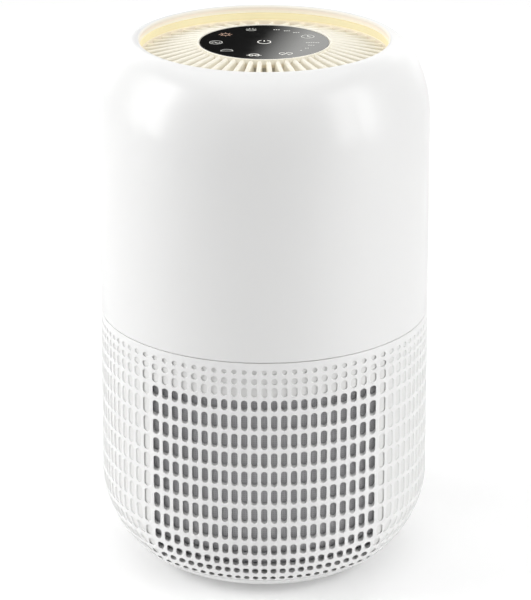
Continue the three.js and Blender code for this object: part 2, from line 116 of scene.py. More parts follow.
FIN_COUNT = 48
FIN_THICKNESS = 3.2
FIN_SLOPE = 0.2
FIN_BOTTOM = 342
FIN_TOP = 356  # at the inner end
FIN_TOP_RADIUS = 44
HUB_RADIUS = 43.4
HUB_BORE = 39
HUB_WALL_RADIUS = 41
HUB_WALL_BOTTOM = 351  # the wall below the ring ends above the fins' lower edges
HUB_WALL_TOP = 353.6
THROAT_RADIUS = 81.2
THROAT_TOP = 350.1


# ---------------------------------------------------------------- the outer form
def wall_radius(z):
    return MID_RADIUS - DRAFT * (z - MID_HEIGHT)


def base_share(z):
    """0 where the base curve starts, growing to 1 at its foot."""
    return max(0.0, (BASE_CURVE_TOP - z) / BASE_CURVE_HEIGHT)


def shell_radius(z):
    """Outer radius below the shoulder."""
    across = 1 - (1 - base_share(z) ** BASE_EXPONENT) ** (1 / BASE_EXPONENT)
    return wall_radius(z) - BASE_CURVE_INSET * across


def shell_slope(z):
    step = 0.05
    return (shell_radius(z + step) - shell_radius(z - step)) / (2 * step)


def radius_at_depth(z, depth):
    """Radius of the surface that lies depth below the outer one, at the same height."""
    return shell_radius(z) - depth * math.hypot(1, shell_slope(z))


def shoulder_points(steps, thickness=0.0):
    """The rounded top edge, from the straight wall up to the rim."""
    rise = HEIGHT - SHOULDER_START - thickness
    points = []
    for i in range(steps + 1):
        angle = i / steps * math.pi / 2
        z = SHOULDER_START + rise * math.sin(angle) ** (2 / SHOULDER_EXPONENT)
        across = 1 - max(0.0, math.cos(angle)) ** (2 / SHOULDER_EXPONENT)
        start = wall_radius(z) - thickness
        end = RIM_RADIUS + (LIP_RADIUS - 0.3 if thickness else 0)
        points.append((start - (start - end) * across, z))
    return points


def arc_points(centre, radius, start, end, steps):
    """Points on an arc in the radius and height plane, with angles in degrees."""
    angles = [math.radians(start + (end - start) * i / steps) for i in range(steps + 1)]
    return [(centre[0] + radius * math.cos(a), centre[1] + radius * math.sin(a)) for a in angles]


# ---------------------------------------------------------------- mesh building
class MeshData:
    """Corners and faces of one piece, where corners at the same place are shared."""

    def __init__(self):
        self.corners = []
        self.faces = []
        self.materials = []
        self.index_of = {}

    def corner(self, point, shared=True):
        key = tuple(round(value, 4) for value in point)
        if shared and key in self.index_of:
            return self.index_of[key]
        self.corners.append(tuple(point))
        self.index_of[key] = len(self.corners) - 1
        return self.index_of[key]

    def face(self, indices, material=0):
        distinct = [v for i, v in enumerate(indices) if v != indices[i - 1]]
        if len(set(distinct)) >= 3:
            self.faces.append(distinct)
            self.materials.append(material)

    def strip(self, first, second, material=0, closed=True):
        """Quads between two rows of corners."""
        count = len(first) if closed else len(first) - 1
        for i in range(count):
            j = (i + 1) % len(first)
            self.face([first[i], first[j], second[j], second[i]], material)

    def revolve(self, outline, segments, closed=True, material=0):
        """Turns [radius, height] points about the Z axis."""
        rows = []
        for i in range(segments):
            angle = 2 * math.pi * i / segments
            rows.append([self.corner((r * math.cos(angle), r * math.sin(angle), z)) for r, z in outline])
        for i in range(segments):
            self.strip(rows[i - 1], rows[i], material, closed)


def make_piece(name, data, materials, body="housing", slot=None, replaces=(), sharp=30):
    """A Blender object from mesh data in millimetres, riding on a CAD body."""
    mesh = bpy.data.meshes.new(name)
    mesh.from_pydata([Vector(c) * MM for c in data.corners], [], data.faces)
    for material in materials:
        mesh.materials.append(material)
    mesh.polygons.foreach_set("material_index", data.materials)
    mesh.validate()
    piece = bpy.data.objects.new(name, mesh)
    bpy.context.scene.collection.objects.link(piece)
    fix_normals(mesh)
    mesh.polygons.foreach_set("use_smooth", [True] * len(mesh.polygons))
    mesh.set_sharp_from_angle(angle=math.radians(sharp))
    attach(piece, body)
    if replaces:
        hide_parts(*replaces)
    return piece


def fix_normals(mesh):
    """Faces look outward, away from the inside of each closed body."""
    work = bmesh.new()
    work.from_mesh(mesh)
    bmesh.ops.recalc_face_normals(work, faces=work.faces)
    work.to_mesh(mesh)
    work.free()


def lathe_piece(name, outline, material, segments=160, **options):
    data = MeshData()
    data.revolve(outline, segments)
    make_piece(name, data, [material], **options)


def use_inside(data, radius, bottom, material):
    """Gives a material to every face inside a radius and above a height."""
    for i, face in enumerate(data.faces):
        places = [data.corners[corner] for corner in face]
        if all(math.hypot(x, y) < radius and z > bottom for x, y, z in places):
            data.materials[i] = material


# ---------------------------------------------------------------- materials
def new_material(name, colour, roughness, metallic=0.0, **inputs):
    """A material with its Principled shader; returns (material, nodes, links, shader)."""
    material = bpy.data.materials.new(name)
    material.use_nodes = True
    tree = material.node_tree
    shader = tree.nodes["Principled BSDF"]
    shader.inputs["Base Color"].default_value = (*colour, 1)
    shader.inputs["Roughness"].default_value = roughness
    shader.inputs["Metallic"].default_value = metallic
    for socket, value in inputs.items():
        shader.inputs[socket].default_value = value
    return material, tree.nodes, tree.links, shader


def noise_node(nodes, links, scale, detail=3.0, stretch=(1, 1, 1)):
    """Noise in the object's own space; scale is in cells per metre."""
    place = nodes.new("ShaderNodeTexCoord")
    mapping = nodes.new("ShaderNodeMapping")
    mapping.inputs["Scale"].default_value = stretch
    noise = nodes.new("ShaderNodeTexNoise")
    noise.inputs["Scale"].default_value = scale
    noise.inputs["Detail"].default_value = detail
    links.new(place.outputs["Object"], mapping.inputs["Vector"])
    links.new(mapping.outputs["Vector"], noise.inputs["Vector"])
    return noise


def ranged(nodes, links, source, low, high):
    """Maps a 0 to 1 value onto low to high."""
    spread = nodes.new("ShaderNodeMapRange")
    spread.inputs["From Min"].default_value = 0.3
    spread.inputs["From Max"].default_value = 0.7
    spread.inputs["To Min"].default_value = low
    spread.inputs["To Max"].default_value = high
    links.new(source, spread.inputs["Value"])
    return spread.outputs["Result"]


def add_bump(nodes, links, shader, height, strength, distance):
    bump = nodes.new("ShaderNodeBump")
    bump.inputs["Strength"].default_value = strength
    bump.inputs["Distance"].default_value = distance * MM
    links.new(height, bump.inputs["Height"])
    links.new(bump.outputs["Normal"], shader.inputs["Normal"])


def mottle(nodes, links, shader, colour, amount, scale):
    """Slow, faint variation of the base colour."""
    noise = noise_node(nodes, links, scale, detail=2)
    blend = nodes.new("ShaderNodeMix")
    blend.data_type = "RGBA"
    blend.inputs["A"].default_value = (*[c * (1 - amount) for c in colour], 1)
    blend.inputs["B"].default_value = (*[min(1, c * (1 + amount)) for c in colour], 1)
    links.new(noise.outputs["Fac"], blend.inputs["Factor"])
    links.new(blend.outputs["Result"], shader.inputs["Base Color"])


def moulded(name, colour, roughness, grain=900, grain_depth=0.01, tint=0.012, **inputs):
    """Injection-moulded plastic: fine surface grain, uneven gloss and a faint tint variation."""
    material, nodes, links, shader = new_material(name, colour, roughness, **inputs)
    mottle(nodes, links, shader, colour, tint, 14)
    gloss = noise_node(nodes, links, 60)
    links.new(ranged(nodes, links, gloss.outputs["Fac"], roughness * 0.88, roughness * 1.12),
              shader.inputs["Roughness"])
    fine = noise_node(nodes, links, grain, detail=2)
    add_bump(nodes, links, shader, fine.outputs["Fac"], 0.25, grain_depth)
    return material


def brushed_metal(name, colour, roughness, stretch=(1, 1, 30)):
    material, nodes, links, shader = new_material(name, colour, roughness, metallic=1.0)
    mottle(nodes, links, shader, colour, 0.06, 40)
    streaks = noise_node(nodes, links, 400, stretch=stretch)
    links.new(ranged(nodes, links, streaks.outputs["Fac"], roughness * 0.7, roughness * 1.4),
              shader.inputs["Roughness"])
    add_bump(nodes, links, shader, streaks.outputs["Fac"], 0.3, 0.02)
    return material


def grainy(name, colour, roughness, cell_scale, depth, tint=0.25):
    """Granules, foam or fibre: cells with their own shade and a bump."""
    material, nodes, links, shader = new_material(name, colour, roughness)
    place = nodes.new("ShaderNodeTexCoord")
    cells = nodes.new("ShaderNodeTexVoronoi")
    cells.inputs["Scale"].default_value = cell_scale
    links.new(place.outputs["Object"], cells.inputs["Vector"])
    blend = nodes.new("ShaderNodeMix")
    blend.data_type = "RGBA"
    blend.inputs["A"].default_value = (*[c * (1 - tint) for c in colour], 1)
    blend.inputs["B"].default_value = (*[min(1, c * (1 + tint)) for c in colour], 1)
    links.new(cells.outputs["Distance"], blend.inputs["Factor"])
    links.new(blend.outputs["Result"], shader.inputs["Base Color"])
    add_bump(nodes, links, shader, cells.outputs["Distance"], 0.6, depth)
    return material


def angle_and_height(nodes, links):
    """The direction round the Z axis in radians, and the height in metres."""
    place = nodes.new("ShaderNodeTexCoord")
    split = nodes.new("ShaderNodeSeparateXYZ")
    turn = nodes.new("ShaderNodeMath")
    turn.operation = "ARCTAN2"
    links.new(place.outputs["Object"], split.inputs["Vector"])
    links.new(split.outputs["Y"], turn.inputs[0])
    links.new(split.outputs["X"], turn.inputs[1])
    return turn.outputs["Value"], split.outputs["Z"]


def sine_of(nodes, links, source, waves):
    """The sine of the source value times waves."""
    scaled = nodes.new("ShaderNodeMath")
    scaled.operation = "MULTIPLY"
    scaled.inputs[1].default_value = waves
    wave = nodes.new("ShaderNodeMath")
    wave.operation = "SINE"
    links.new(source, scaled.inputs[0])
    links.new(scaled.outputs["Value"], wave.inputs[0])
    return wave.outputs["Value"]


def woven(name, colour, roughness, threads_round, threads_up):
    """A woven mesh wrapped round the Z axis: crossing threads with darker gaps between them."""
    material, nodes, links, shader = new_material(name, colour, roughness, **{"Sheen Weight": 0.2})
    turn, height = angle_and_height(nodes, links)
    across = sine_of(nodes, links, turn, threads_round)
    up = sine_of(nodes, links, height, threads_up)
    weave = nodes.new("ShaderNodeMath")
    weave.operation = "MAXIMUM"
    links.new(across, weave.inputs[0])
    links.new(up, weave.inputs[1])
    shade = nodes.new("ShaderNodeMapRange")
    shade.inputs["From Min"].default_value = -1
    links.new(weave.outputs["Value"], shade.inputs["Value"])
    blend = nodes.new("ShaderNodeMix")
    blend.data_type = "RGBA"
    blend.inputs["A"].default_value = (*[c * 0.85 for c in colour], 1)
    blend.inputs["B"].default_value = (*[c * 1.05 for c in colour], 1)
    links.new(shade.outputs["Result"], blend.inputs["Factor"])
    links.new(blend.outputs["Result"], shader.inputs["Base Color"])
    add_bump(nodes, links, shader, shade.outputs["Result"], 0.7, 0.15)
    return material


def glowing(name, colour, strength, base):
    """A lit diffuser or symbol, slightly uneven over its length. base is its colour when unlit."""
    material, nodes, links, shader = new_material(name, base, 0.5)
    mottle(nodes, links, shader, base, 0.02, 30)
    shader.inputs["Emission Color"].default_value = (*colour, 1)
    unevenness = noise_node(nodes, links, 25)
    links.new(ranged(nodes, links, unevenness.outputs["Fac"], strength * 0.94, strength * 1.06),
              shader.inputs["Emission Strength"])
    return material


def painted_glow_plastic(name, bottom, top, glow_at_bottom, glow_at_top):
    """Plastic with a painted warm glow and warm tint, standing in for the light ring's light falling on it:
    the glow changes with height.
    """
    material, nodes, links, shader = new_material(name, LIP_COLOUR_PAINTED_WARM, 0.4)
    mottle(nodes, links, shader, LIP_COLOUR_PAINTED_WARM, 0.012, 14)
    _, height = angle_and_height(nodes, links)
    fade = nodes.new("ShaderNodeMapRange")
    fade.inputs["From Min"].default_value = bottom * MM
    fade.inputs["From Max"].default_value = top * MM
    fade.inputs["To Min"].default_value = glow_at_bottom
    fade.inputs["To Max"].default_value = glow_at_top
    shader.inputs["Emission Color"].default_value = (1.0, 0.79, 0.48, 1)
    links.new(height, fade.inputs["Value"])
    links.new(fade.outputs["Result"], shader.inputs["Emission Strength"])
    return material


def black_glass():
    """Polished black cover glass with faint, wide unevenness in its polish."""
    material, nodes, links, shader = new_material(
        "panel_glass", (0.004, 0.004, 0.004), 0.04, **{"IOR": 1.5})
    polish = noise_node(nodes, links, 120)
    links.new(ranged(nodes, links, polish.outputs["Fac"], 0.033, 0.047), shader.inputs["Roughness"])
    mottle(nodes, links, shader, (0.004, 0.004, 0.004), 0.1, 30)
    return material


WHITE = (0.8, 0.8, 0.795)
CREAM = (0.8, 0.775, 0.69)
# A warm tint over the white, painted light from the light ring on the inner lip and the grille walls.
LIP_COLOUR_PAINTED_WARM = (0.8, 0.77, 0.71)

shell_white = moulded("shell_white", WHITE, 0.36, **{"Coat Weight": 0.2, "Coat Roughness": 0.14})
# Recess floors: a darker base colour as painted shade in the hollows, with a rougher matte finish.
recess_floor_painted_shade = moulded("recess_floor_painted_shade", (0.73, 0.73, 0.72), 0.5)
# The grille's cream plastic with a faint painted warm glow, standing in for the light ring's light on the
# fins.
grille_cream = moulded("grille_cream", CREAM, 0.38, **{
    "Emission Color": (1.0, 0.89, 0.7, 1), "Emission Strength": 0.09})
light_diffuser = glowing("light_diffuser", (1.0, 0.87, 0.5), 0.52, base=(0.46, 0.43, 0.3))
# Painted warm glow standing in for the light ring's light on the inner lip, the throat wall and the hub
# wall.
lip_painted_glow = painted_glow_plastic("lip_painted_glow", SKIRT_BOTTOM, HEIGHT, 0.34, 0.02)
throat_painted_glow = painted_glow_plastic("throat_painted_glow", FIN_BOTTOM, THROAT_TOP, 0.02, 0.3)
hub_painted_glow = painted_glow_plastic("hub_painted_glow", HUB_WALL_BOTTOM, HUB_WALL_TOP, 0.12, 0.2)
panel_glass = black_glass()
symbol_white = glowing("symbol_white", (1.0, 0.98, 0.92), 0.85, base=(0.2, 0.2, 0.19))
symbol_dim = glowing("symbol_dim", (1.0, 1.0, 0.95), 0.55, base=(0.15, 0.15, 0.14))
symbol_amber = glowing("symbol_amber", (1.0, 0.62, 0.42), 0.45, base=(0.2, 0.13, 0.1))
sleeve_grey = woven("sleeve_grey", (0.55, 0.55, 0.565), 0.85, threads_round=420, threads_up=4200)
inner_plastic = moulded("inner_plastic", (0.72, 0.72, 0.7), 0.5)
fan_plastic = moulded("fan_plastic", (0.58, 0.6, 0.62), 0.42)
filter_frame = moulded("filter_frame", (0.68, 0.71, 0.74), 0.5)
filter_paper = grainy("filter_paper", (0.84, 0.82, 0.76), 0.9, 1500, 0.05, tint=0.05)
carbon = grainy("carbon_granules", (0.022, 0.022, 0.022), 0.8, 450, 0.8)
pull_tab_fabric = grainy("pull_tab_fabric", (0.2, 0.38, 0.58), 0.85, 1800, 0.08, tint=0.15)
foam = grainy("foam_gasket", (0.07, 0.07, 0.07), 0.95, 900, 0.3)
foot_rubber = moulded("foot_rubber", (0.035, 0.035, 0.035), 0.8, grain=1500, grain_depth=0.05)
steel = brushed_metal("steel", (0.55, 0.56, 0.57), 0.3)
die_cast = brushed_metal("die_cast", (0.5, 0.5, 0.51), 0.45, stretch=(1, 1, 1))
magnet = grainy("magnet_ferrite", (0.06, 0.06, 0.065), 0.6, 1200, 0.05)
copper = brushed_metal("copper_winding", (0.72, 0.33, 0.17), 0.35, stretch=(1, 1, 12))
circuit_board = grainy("circuit_board", (0.02, 0.13, 0.06), 0.4, 700, 0.03)
led_board_white = moulded("led_board", (0.8, 0.8, 0.77), 0.5)
inlet_black = moulded("inlet_black", (0.015, 0.015, 0.015), 0.4)
screw_zinc = brushed_metal("screw_zinc", (0.62, 0.63, 0.65), 0.35, stretch=(1, 1, 1))

CARRIED_OVER = {
    "filter_top_cap": filter_frame, "filter_bottom_cap": filter_frame, "carbon_layer": carbon,
    "filter_pull_tab": pull_tab_fabric, "filter_gasket": foam, "deck_plate": inner_plastic,
    "inlet_guard": inner_plastic, "fan_housing": inner_plastic, "impeller": fan_plastic,
    "impeller_shroud": fan_plastic, "rotor_can": steel, "rotor_magnet": magnet, "motor_shaft": steel,
    "motor_stator": copper, "motor_base": die_cast, "bearing_lower": steel, "bearing_upper": steel,
    "led_board": led_board_white, "panel_carrier": inner_plastic, "touch_board": circuit_board,
    "main_board": circuit_board, "filter_media": filter_paper,
}
CARRIED_OVER.update({name: screw_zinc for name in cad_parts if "_screw_" in name})


# ---------------------------------------------------------------- upper shell
def make_upper_shell():
    edge = WALL_EDGE
    bottom = SEAM_TOP
    rim_centre = (RIM_RADIUS, HEIGHT - LIP_RADIUS)
    lip = arc_points(rim_centre, LIP_RADIUS, 90, 180, 6)
    inside = shoulder_points(16, WALL)
    outline = [
        (wall_radius(bottom) - edge, bottom), (wall_radius(bottom) - edge * 0.3, bottom + edge * 0.3),
        (wall_radius(bottom), bottom + edge), *shoulder_points(36)[:-1], *lip,
        (RIM_RADIUS - LIP_RADIUS, SKIRT_BOTTOM), (inside[-1][0], SKIRT_BOTTOM),
        *reversed(inside), (wall_radius(bottom) - WALL, bottom),
    ]
    data = MeshData()
    data.revolve(outline, 240)
    # The inside of the lip and skirt takes the painted warm glow, brightest at the bottom next to the light
    # ring.
    use_inside(data, RIM_RADIUS - LIP_RADIUS * 0.2, SKIRT_BOTTOM - 0.1, material=1)
    shell = make_piece("upper_shell_skin", data, [shell_white, lip_painted_glow],
                       slot="shell_white", replaces=["upper_shell"])
    cut_inlet_hole(shell)


def cut_inlet_hole(shell):
    """The round hole in the back of the shell that the power inlet looks out of."""
    low, high = mm_box("power_inlet")
    centre_z = (low.z + high.z) / 2
    hole_radius, sides = 6.1, 48
    circle = arc_points((0, centre_z), hole_radius, 0, 360, sides)[:-1]
    data = MeshData()
    rings = []
    for y in (low.y, MID_RADIUS + 10):
        rings.append([data.corner((x, y, z)) for x, z in circle])
    data.strip(*rings)
    data.face(rings[0])
    data.face(rings[1])
    cutter = make_piece("inlet_hole_cutter", data, [shell_white])
    cut = shell.modifiers.new("inlet_hole", "BOOLEAN")
    cut.object = cutter
    cut.solver = "EXACT"
    bpy.context.view_layer.update()
    cut_mesh = bpy.data.meshes.new_from_object(shell.evaluated_get(bpy.context.evaluated_depsgraph_get()))
    shell.modifiers.clear()
    shell.data = cut_mesh
    shell.data.set_sharp_from_angle(angle=math.radians(30))
    bpy.data.objects.remove(cutter)


# ---------------------------------------------------------------- intake shell
def slot_rows():
    """(middle height, slot height) of each row, from the top down."""
    blind = [(170.6, 3.5), (164.3, 4.65), (157.0, 6.85)]
    full = [(FIRST_FULL_ROW + ROW_PITCH * i, 11.0) for i in reversed(range(FULL_ROWS))]
    base = [(45.4, 8.6), (34.7, 7.0), (26.0, 5.35), (18.2, 3.9)]
    return [*blind, (147.6, 8.0), *full, *base]


def row_edges(rows):
    """Heights that part the rows: the middle of each gap between two slots."""
    edges = [GRID_TOP]
    for (upper, upper_height), (lower, lower_height) in zip(rows, rows[1:]):
        edges.append(((upper - upper_height / 2) + (lower + lower_height / 2)) / 2)
    return [*edges, GRID_BOTTOM]


def grid_half_width(z):
    """x of the edge between a front and a side grid."""
    tightened = 1 - PITCH_TIGHTENING * base_share(z) ** TIGHTENING_EXPONENT
    return COLUMN_COUNT / 2 * COLUMN_PITCH * tightened


def half_span(z, sideways):
    """Half the width of a grid: along x for front and rear, along y for the sides."""
    x = grid_half_width(z)
    return math.sqrt(shell_radius(z) ** 2 - x * x) if sideways else x


def stadium(width, height, points_per_end):
    """Outline of a slot, anticlockwise from the lower right, as (across, up) from its middle."""
    radius = min(width, height) / 2
    straight = (height - 2 * radius) / 2
    outline = []
    for end in (1, -1):
        for i in range(points_per_end):
            angle = math.pi * i / (points_per_end - 1) + (0 if end > 0 else math.pi)
            outline.append((radius * math.cos(angle), end * straight + radius * math.sin(angle)))
    return outline


def bridge(data, outer, inner, material=0, flip=False):
    """Triangles between two rings of (corner, flat place), in order of direction from the inner's middle."""
    full_turn = 2 * math.pi
    middle = [sum(place[axis] for _, place in inner) / len(inner) for axis in (0, 1)]

    def direction(item):
        return math.atan2(item[1][1] - middle[1], item[1][0] - middle[0])

    first = direction(outer[0])
    inner = sorted(inner, key=lambda item: (direction(item) - first) % full_turn)
    outer_turns = [(direction(item) - first) % full_turn for item in outer[1:]] + [full_turn]
    inner_turns = [(direction(item) - first) % full_turn for item in inner]
    inner_turns = inner_turns[1:] + [full_turn + inner_turns[0]]
    i = j = 0
    while i < len(outer) or j < len(inner):
        a, b = outer[i % len(outer)], inner[j % len(inner)]
        outer_turn = j == len(inner) or (i < len(outer) and outer_turns[i] <= inner_turns[j])
        third = outer[(i + 1) % len(outer)] if outer_turn else inner[(j + 1) % len(inner)]
        corners = [a[0], third[0], b[0]]
        data.face(corners[::-1] if flip else corners, material)
        i, j = (i + 1, j) if outer_turn else (i, j + 1)


class Grid:
    """One of the four slot grids. Places are (across, z); direction turns them onto the shell."""

    def __init__(self, data, direction, sideways):
        self.data = data
        self.direction = direction  # sign of the axis that the grid faces
        self.sideways = sideways

    def point(self, across, z, radius):
        away = math.sqrt(max(0.0, radius * radius - across * across)) * self.direction
        return (away, across, z) if self.sideways else (across, away, z)

    def ring(self, places, depth):
        return [(self.data.corner(self.point(u, z, radius_at_depth(z, depth))), (u, z)) for u, z in places]

    def boundary(self, column, top, bottom, depth=0.0):
        """The 8 places on the edge of a cell. Below the surface the grid's outer edges draw in."""
        steps = [(0.5, bottom), (0.5, (top + bottom) / 2), (0.5, top), (0, top),
                 (-0.5, top), (-0.5, (top + bottom) / 2), (-0.5, bottom), (0, bottom)]
        places = []
        for shift, z in steps:
            across = (column + shift) / (COLUMN_COUNT / 2) * half_span(z, self.sideways)
            if depth and (self.sideways or abs(column + shift) > OPEN_COLUMNS + 0.5):
                across *= radius_at_depth(z, depth) / shell_radius(z)
            places.append((across, z))
        return places

    def cell(self, column, middle, height, top, bottom):
        across = column / (COLUMN_COUNT / 2) * half_span(middle, self.sideways)
        points_per_end = 8 if self.sideways else 12
        is_open = not self.sideways and abs(column) <= OPEN_COLUMNS and middle < BLIND_ABOVE
        wall = SLOT_WALL if middle < BLIND_ABOVE else WALL
        width = min(SLOT_WIDTH, height)

        def slot_ring(grow, depth):
            outline = stadium(width + 2 * grow, height + 2 * grow, points_per_end)
            return self.ring([(across + u, middle + v) for u, v in outline], depth)

        rim = slot_ring(CHAMFER / 2, 0)
        bridge(self.data, self.ring(self.boundary(column, top, bottom), 0), rim)
        inside = self.ring(self.boundary(column, top, bottom, wall), wall)
        if is_open:
            edge = slot_ring(-CHAMFER / 2, CHAMFER)
            back = slot_ring(-CHAMFER / 2, wall)
            self.data.strip(corners_of(rim), corners_of(edge))
            self.data.strip(corners_of(edge), corners_of(back))
            bridge(self.data, inside, back, flip=True)
            return
        recess = SIDE_RECESS if self.sideways else FRONT_RECESS
        depths = [recess] if self.sideways else [CHAMFER, recess]
        rings = [rim, *[slot_ring(-CHAMFER / 2, depth) for depth in depths]]
        for upper, lower in zip(rings, rings[1:]):
            self.data.strip(corners_of(upper), corners_of(lower))
        # The blind recess's floor gets the darker painted-shade material.
        self.data.face(corners_of(rings[-1]), material=1)
        self.data.face(corners_of(inside)[::-1])


def corners_of(ring):
    return [corner for corner, _ in ring]


def grid_outline(data, z, depth=0.0):
    """All corners of the grids' edges round the shell at one height and depth, in order."""
    corners = []
    surface = radius_at_depth(z, depth)
    for sideways, direction in ((False, -1), (True, 1), (False, 1), (True, -1)):
        for i in range(2 * COLUMN_COUNT):
            share = i / COLUMN_COUNT - 1
            if sideways != (direction > 0):
                share = -share
            across = share * half_span(z, sideways)
            if sideways or abs(share) * COLUMN_COUNT / 2 > OPEN_COLUMNS + 0.5:
                across *= surface / shell_radius(z)
            away = math.sqrt(surface * surface - across * across) * direction
            x, y = (away, across) if sideways else (across, away)
            corners.append(data.corner((x, y, z)))
    return corners


def band(data, rows):
    """Joins rings of corners round the shell, one under the other."""
    for upper, lower in zip(rows, rows[1:]):
        data.strip(upper, lower)


def lifted(data, corners, radius, z):
    """The same directions round the axis, at another radius and height."""
    moved = []
    for corner in corners:
        x, y, _ = data.corners[corner]
        scale = radius / math.hypot(x, y)
        moved.append(data.corner((x * scale, y * scale, z)))
    return moved


def make_intake_shell():
    data = MeshData()
    rows = slot_rows()
    edges = row_edges(rows)
    half = COLUMN_COUNT // 2
    for sideways in (False, True):
        for direction in (-1, 1):
            grid = Grid(data, direction, sideways)
            for (middle, height), top, bottom in zip(rows, edges, edges[1:]):
                for column in range(-half, half + 1):
                    grid.cell(column, middle, height, top, bottom)
    for (above, _), (below, _), z in zip(rows, rows[1:], edges[1:]):
        if above > BLIND_ABOVE > below:  # the wall grows thicker here
            band(data, [grid_outline(data, z, wall) for wall in (WALL, SLOT_WALL)])
    edge = WALL_EDGE
    ledge_radius, ledge_depth = 99.6, 2.4
    top_row = grid_outline(data, GRID_TOP)
    inner_top = grid_outline(data, GRID_TOP, WALL)
    radius = shell_radius(SEAM_BOTTOM)
    band(data, [
        top_row, lifted(data, top_row, radius, SEAM_BOTTOM - edge),
        lifted(data, top_row, radius - edge * 0.3, SEAM_BOTTOM - edge * 0.3),
        lifted(data, top_row, radius - edge, SEAM_BOTTOM),
        lifted(data, top_row, ledge_radius, SEAM_BOTTOM),
        lifted(data, top_row, ledge_radius, SEAM_BOTTOM - ledge_depth),
        lifted(data, inner_top, radius - WALL, SEAM_BOTTOM - ledge_depth), inner_top,
    ])
    bottom_row = grid_outline(data, GRID_BOTTOM)
    inner_bottom = grid_outline(data, GRID_BOTTOM, SLOT_WALL)
    radius = shell_radius(SHELL_BOTTOM)
    flange_radius = 81
    band(data, [
        bottom_row, lifted(data, bottom_row, shell_radius(SHELL_BOTTOM + edge), SHELL_BOTTOM + edge),
        lifted(data, bottom_row, radius - edge * 0.6, SHELL_BOTTOM),
        lifted(data, bottom_row, flange_radius, SHELL_BOTTOM),
        lifted(data, bottom_row, flange_radius, GRID_BOTTOM), inner_bottom,
    ])
    make_piece("intake_shell_skin", data, [shell_white, recess_floor_painted_shade],
               slot="shell_white", replaces=["intake_shell"], sharp=28)


def make_prefilter_sleeve():
    """The grey mesh that lines the inside of the slotted wall."""
    low, high = mm_box("prefilter_mesh")
    gap, thickness, steps = 0.4, 0.4, 16
    heights = [low.z + (high.z - low.z) * (i / steps) ** 2 for i in range(steps + 1)]
    outside = [(radius_at_depth(z, SLOT_WALL + gap), z) for z in heights]
    inside = [(r - thickness, z) for r, z in reversed(outside)]
    lathe_piece("prefilter_sleeve", outside + inside, sleeve_grey, segments=240,
                slot="prefilter_mesh", replaces=["prefilter_mesh"])


# ---------------------------------------------------------------- base cover and feet
def make_base_cover():
    grip_radius, grip_roof, grip_fillet = 34, UNDERSIDE + 12, 1.5
    collar, collar_top, collar_foot, thickness = 78.2, 20.2, 12, 2.4
    edge = 0.5
    steps = 14
    floor = UNDERSIDE + WALL
    outside = []
    for i in range(steps + 1):
        z = UNDERSIDE + edge + (COVER_TOP - edge - UNDERSIDE - edge) * i / steps
        outside.append((shell_radius(z), z))
    outline = [
        (0, grip_roof), (grip_radius - grip_fillet, grip_roof),
        *arc_points((grip_radius - grip_fillet, grip_roof - grip_fillet), grip_fillet, 90, 0, 4)[1:],
        (grip_radius, UNDERSIDE + edge), (grip_radius + edge, UNDERSIDE),
        (shell_radius(UNDERSIDE) - 2 * edge, UNDERSIDE), *outside,
        (shell_radius(COVER_TOP) - edge * 0.6, COVER_TOP), (collar + 6, COVER_TOP), (collar, COVER_TOP),
        (collar, collar_top), (collar - thickness, collar_top), (collar - thickness, collar_foot),
        (collar - 8, floor), (grip_radius + thickness, floor),
        (grip_radius + thickness, grip_roof + thickness), (0, grip_roof + thickness),
    ]
    data = MeshData()
    data.revolve(outline, 200, closed=False)
    add_grip_bar(data, grip_radius, width=14, bottom=UNDERSIDE, top=grip_roof + 1)
    make_piece("base_cover_skin", data, [shell_white], body="bottom", slot="shell_white",
               replaces=["base_cover"])


def add_grip_bar(data, radius, width, bottom, top):
    """The bar across the recess that fingertips hold, with its lower edges rounded."""
    fillet = 1.6
    reach = radius + 0.8  # the bar's ends sink into the side of the recess
    half = width / 2
    section = [
        (-half, top), *arc_points((-half + fillet, bottom + fillet), fillet, 180, 270, 6),
        *arc_points((half - fillet, bottom + fillet), fillet, -90, 0, 6), (half, top),
    ]
    ends = []
    for side in (-1, 1):
        ends.append([data.corner((side * math.sqrt(reach ** 2 - y * y), y, z), shared=False)
                     for y, z in section])
    data.strip(*ends)
    data.face(ends[0])
    data.face(ends[1])


def make_foot(name):
    low, high = mm_box(name)
    centre = (low + high) / 2
    radius, height, edge = (high.x - low.x) / 2, high.z, 0.8
    hollow, hollow_depth = 2.6, 0.5
    outline = [
        (0, hollow_depth), (hollow, hollow_depth), (hollow + hollow_depth, 0), (radius - edge, 0),
        *arc_points((radius - edge, edge), edge, -90, 0, 5)[1:], (radius, height), (0, height),
    ]
    data = MeshData()
    data.revolve(outline, 48, closed=False)
    data.corners = [(x + centre.x, y + centre.y, z) for x, y, z in data.corners]
    make_piece(name + "_pad", data, [foot_rubber], body="bottom", slot="foot_rubber", replaces=[name])


# ---------------------------------------------------------------- outlet grille
def fin_top(radius):
    return FIN_TOP - FIN_SLOPE * (radius - FIN_TOP_RADIUS)


def add_fin(data, turn):
    """One radial fin with a rounded top edge."""
    half = FIN_THICKNESS / 2
    section = [(-half, None)]
    section += [(-half * math.cos(math.pi * i / 8), half * math.sin(math.pi * i / 8) - half)
                for i in range(9)]
    section += [(half, None)]
    c, s = math.cos(turn), math.sin(turn)
    rows = []
    for radius in (HUB_RADIUS - 1.6, HUB_RADIUS + 10, THROAT_RADIUS - 10, THROAT_RADIUS + 1):
        row = []
        for across, drop in section:
            z = FIN_BOTTOM if drop is None else fin_top(radius) + drop
            row.append(data.corner((radius * c - across * s, radius * s + across * c, z), shared=False))
        rows.append(row)
    for first, second in zip(rows, rows[1:]):
        data.strip(first, second)
    data.face(rows[0])
    data.face(rows[-1])


